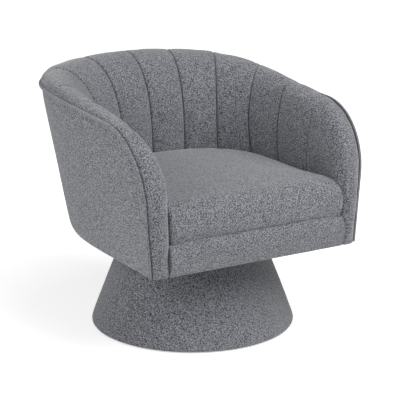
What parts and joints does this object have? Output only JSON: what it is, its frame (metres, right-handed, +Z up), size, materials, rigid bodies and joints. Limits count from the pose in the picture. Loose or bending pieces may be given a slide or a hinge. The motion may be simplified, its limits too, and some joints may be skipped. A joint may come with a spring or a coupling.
{
  "type": "swivel accent chair",
  "caption": "Upholstered barrel armchair with a channelled inner back, loose-look crowned seat and piped rim, turning on a padded cone pedestal.",
  "frame": {"origin": "on the floor, under the swivel's turning axis", "axes": "+Z up along the turning axis, -Y is the front of the seat, +X is the sitter's left"},
  "size_m": [0.7294, 0.8145, 0.7461],
  "materials": {
    "upholstery": "heathered woven fabric, matt",
    "welt_fabric": "heathered woven fabric, matt",
    "plywood": "raw plywood",
    "timber": "raw pine",
    "fibreboard": "raw hardboard",
    "lining": "black non-woven cloth",
    "elastic_webbing": "woven elastic",
    "zinc_steel": "zinc plated",
    "bearing_steel": "polished",
    "glide_plastic": "smooth moulded"
  },
  "bodies": {
    "base": {"base_cover": "upholstery", "base_skin": "fibreboard", "base_bottom_board": "plywood", "base_top_board": "plywood", "base_rib_cross": "plywood", "base_rib_long": "plywood", "base_dust_cover": "lining", "glide_1": "glide_plastic", "glide_2": "glide_plastic", "glide_3": "glide_plastic", "glide_4": "glide_plastic", "swivel_lower_plate": "zinc_steel", "ball_ring": "bearing_steel", "swivel_pivot": "zinc_steel", "lower_plate_screw_1": "zinc_steel", "lower_plate_screw_2": "zinc_steel", "lower_plate_screw_3": "zinc_steel", "lower_plate_screw_4": "zinc_steel"},
    "seat": {"swivel_upper_plate": "zinc_steel", "upper_plate_screw_1": "zinc_steel", "upper_plate_screw_2": "zinc_steel", "upper_plate_screw_3": "zinc_steel", "upper_plate_screw_4": "zinc_steel", "seat_board": "plywood", "front_rail": "timber", "side_rail_right": "timber", "side_rail_left": "timber", "back_rail": "timber", "arm_plate_right": "plywood", "arm_plate_left": "plywood", "arm_rail_right": "plywood", "arm_rail_left": "plywood", "back_top_rail": "plywood", "rear_post_right": "timber", "rear_post_left": "timber", "strap_long_1": "elastic_webbing", "strap_long_2": "elastic_webbing", "strap_long_3": "elastic_webbing", "strap_long_4": "elastic_webbing", "strap_cross_1": "elastic_webbing", "strap_cross_2": "elastic_webbing", "seat_deck": "lining", "seat_dust_cover": "lining", "seat_cushion": "upholstery", "front_band": "upholstery", "channel_right_1": "upholstery", "channel_right_2": "upholstery", "channel_right_3": "upholstery", "channel_right_4": "upholstery", "channel_right_5": "upholstery", "channel_left_1": "upholstery", "channel_left_2": "upholstery", "channel_left_3": "upholstery", "channel_left_4": "upholstery", "channel_left_5": "upholstery", "arm_panel_right": "upholstery", "arm_panel_left": "upholstery", "outside_cover": "upholstery", "piping": "welt_fabric"}
  },
  "joints": [
    {"name": "seat_swivel", "type": "hinge", "parent": "base", "child": "seat", "pos_m": [0, 0, 0.2636], "axis": [0, 0, 1], "continuous": true}
  ]
}
